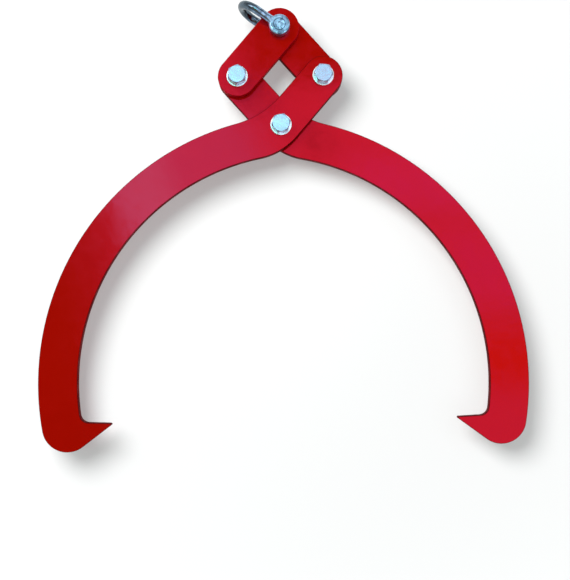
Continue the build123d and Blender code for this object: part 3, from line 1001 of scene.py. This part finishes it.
CAMERA_FROM_CENTRE = np.array([-2.3, -245.1, 1005.5]) * MM
CAMERA_TURN = [math.radians(angle) for angle in (0.73, -0.23, -0.906)]
IMAGE_WIDTH = 570
SURROUND = ((0.90, 0.90, 0.90, 1), (0.22, 0.22, 0.23, 1), (1.28, 1.30, 1.34, 1))
SURROUND_EDGES = ((0.30, 0.40), (0.72, 0.86))
STUDIO_CARDS = (
    # On the left: a wide dark flag, and a cool card with a brighter one on it
    ((0.32, 0.14, 0.0, 1), (-0.95, -0.75, -0.34, -0.05), (-0.95, -0.75, 0.16, 0.24)),
    ((1.05, 3.4, 3.4, 1), (-0.186, -0.176, 0.015, 0.10), (0.02, 0.08, 0.25, 0.30)),
    ((1.10, 7.2, 5.3, 1), (-0.184, -0.174, -0.105, -0.07), (0.02, 0.06, 0.25, 0.30)),
    # In the middle: three dimmer cards over the links and the heads of the arms
    ((0.62, 0.90, 1.20, 1), (0.03, 0.05, 0.095, 0.12), (0.262, 0.27, 0.31, 0.325)),
    ((0.62, 0.80, 0.90, 1), (0.115, 0.13, 0.15, 0.175), (0.20, 0.21, 0.235, 0.245)),
    ((0.46, 0.12, 0.0, 1), (0.04, 0.124, 0.244, 0.284), (0.30, 0.325, 0.42, 0.46)),
    # On the right: two cool cards, and a warm one below them
    ((1.36, 1.60, 2.60, 1), (0.15, 0.18, 0.33, 0.34), (0.11, 0.135, 0.185, 0.215)),
    ((1.34, 1.35, 2.20, 1), (0.25, 0.26, 0.34, 0.36), (-0.02, 0.0, 0.08, 0.10)),
    ((1.36, 0.62, 0.20, 1), (0.22, 0.235, 0.35, 0.37), (-0.15, -0.105, -0.08, -0.01)),
)
CARD_SLANT = 0.4
LEAST_RISE = 0.001
KEY_SIZE = 0.9
KEY_POWER = 6
KEY_PLACE = (-1.0, 0.85, 1.35)
SHEET_KEY_SIZE = 0.7
SHEET_KEY_POWER = 17.5
SHEET_KEY_PLACE = (-0.417, 0.366, 1.057)
SHEET_HALF = 4.0
SHEET_REACH = (0.2, 2.3)
SHEET_SEEN = (0.345, 0.85)
SHEET_BOUNCE = 0.21
SHEET_GLOW = 0.28
PIXEL_SIZE = 1.4168 * MM
SENSOR_WIDTH = 36.0
VIEW_REACH = 20


def studio_floor():
    """A wide sheet under the tongs.

    Seen or reflected it gets paler from the middle outwards, with a faint glow of its own, and light
    that bounces meets a darker grey."""
    mesh = bpy.data.meshes.new("floor")
    corners = [(x * SHEET_HALF, y * SHEET_HALF, 0) for x, y in ((-1, -1), (1, -1), (1, 1), (-1, 1))]
    mesh.from_pydata(corners, [], [(0, 1, 2, 3)])
    floor = bpy.data.objects.new("floor", mesh)
    bpy.context.scene.collection.objects.link(floor)
    material, tree, shader = new_material("floor_sheet")
    path = add_node(tree, "ShaderNodeLightPath")
    seen = math_node(tree, "MAXIMUM", path.outputs["Is Camera Ray"], path.outputs["Is Glossy Ray"])
    seen = math_node(tree, "MAXIMUM", seen, path.outputs["Is Transmission Ray"])
    place = add_node(tree, "ShaderNodeTexCoord").outputs["Object"]
    away = vector_node(tree, "LENGTH", "Value", n0=place)
    share = math_node(tree, "MULTIPLY", seen, ramp(tree, away, *SHEET_REACH, *SHEET_SEEN))
    bounce = math_node(tree, "MULTIPLY", math_node(tree, "SUBTRACT", 1.0, seen), SHEET_BOUNCE)
    tree.links.new(math_node(tree, "ADD", share, bounce), shader.inputs["Base Color"])
    shader.inputs["Emission Color"].default_value = (1, 1, 1, 1)
    tree.links.new(math_node(tree, "MULTIPLY", seen, SHEET_GLOW), shader.inputs["Emission Strength"])
    shader.inputs["Roughness"].default_value = 1.0
    shader.inputs["Specular IOR Level"].default_value = 0.0
    mesh.materials.append(material)
    return floor


def disk_lamp(name, size, power, place):
    """A round area lamp that faces the frame's origin."""
    lamp = bpy.data.lights.new(name, "AREA")
    lamp.shape = "DISK"
    lamp.size = size
    lamp.energy = power
    holder = bpy.data.objects.new(name, lamp)
    holder.location = place
    holder.rotation_euler = (-holder.location).to_track_quat("-Z", "Y").to_euler()
    bpy.context.scene.collection.objects.link(holder)
    return holder


def studio_light(floor):
    """A pale backdrop all round, a bright ceiling panel with dimmer walls below it, and two lamps.

    The surround changes by height, over the Z of a direction. Cards and flags in the panel are placed
    by a direction's slopes, X/Z slanted by a share of Y/Z, and Y/Z, each between four edges: outside
    the first and last the card isn't there, between the middle two it is whole."""
    world = bpy.data.worlds.new("studio")
    bpy.context.scene.world = world
    world.use_nodes = True
    tree = world.node_tree
    way = add_node(tree, "ShaderNodeTexCoord").outputs["Generated"]
    split = add_node(tree, "ShaderNodeSeparateXYZ", None, Vector=way)
    up = math_node(tree, "MAXIMUM", split.outputs["Z"], LEAST_RISE)
    slopes = [math_node(tree, "DIVIDE", split.outputs[axis], up) for axis in ("X", "Y")]
    slopes[0] = math_node(tree, "ADD", slopes[0], math_node(tree, "MULTIPLY", slopes[1], CARD_SLANT))
    colour = SURROUND[0]
    for (low, high), above in zip(SURROUND_EDGES, SURROUND[1:]):
        colour = colour_mix(tree, ramp(tree, split.outputs["Z"], low, high), colour, above)
    for card, *edges in STUDIO_CARDS:
        share = 1.0
        for slope, (outer_low, low, high, outer_high) in zip(slopes, edges):
            rise = ramp(tree, slope, outer_low, low)
            fall = ramp(tree, slope, outer_high, high)
            share = math_node(tree, "MULTIPLY", share, math_node(tree, "MULTIPLY", rise, fall))
        colour = colour_mix(tree, share, colour, card)
    tree.links.new(colour, tree.nodes["Background"].inputs["Color"])

    disk_lamp("key", KEY_SIZE, KEY_POWER, KEY_PLACE)

    # The sheet's own lamp: it is as strong far off as near by, and lights nothing but the sheet
    sheet_key = disk_lamp("sheet_key", SHEET_KEY_SIZE, SHEET_KEY_POWER, SHEET_KEY_PLACE)
    sheet_key.data.use_nodes = True
    lamp_tree = sheet_key.data.node_tree
    falloff = add_node(lamp_tree, "ShaderNodeLightFalloff", None, Strength=1.0)
    lamp_tree.links.new(falloff.outputs["Constant"], lamp_tree.nodes["Emission"].inputs["Strength"])
    lit = bpy.data.collections.new("lit_by_sheet_key")
    lit.objects.link(floor)
    sheet_key.light_linking.receiver_collection = lit


def studio_camera():
    """The photograph's view: turns in the order Y, X, Z, and the focal length in pixels."""
    lens = bpy.data.cameras.new("view")
    lens.sensor_fit = "HORIZONTAL"
    lens.sensor_width = SENSOR_WIDTH
    focal_pixels = CAMERA_FROM_CENTRE[2] / PIXEL_SIZE
    lens.lens = focal_pixels * SENSOR_WIDTH / IMAGE_WIDTH
    lens.clip_end = VIEW_REACH
    camera = bpy.data.objects.new("view", lens)
    camera.rotation_mode = "YXZ"
    camera.rotation_euler = CAMERA_TURN
    camera.location = PIVOTS["centre"] + CAMERA_FROM_CENTRE
    bpy.context.scene.collection.objects.link(camera)
    bpy.context.scene.camera = camera


studio_light(studio_floor())
studio_camera()
bpy.context.scene.view_settings.view_transform = "Standard"
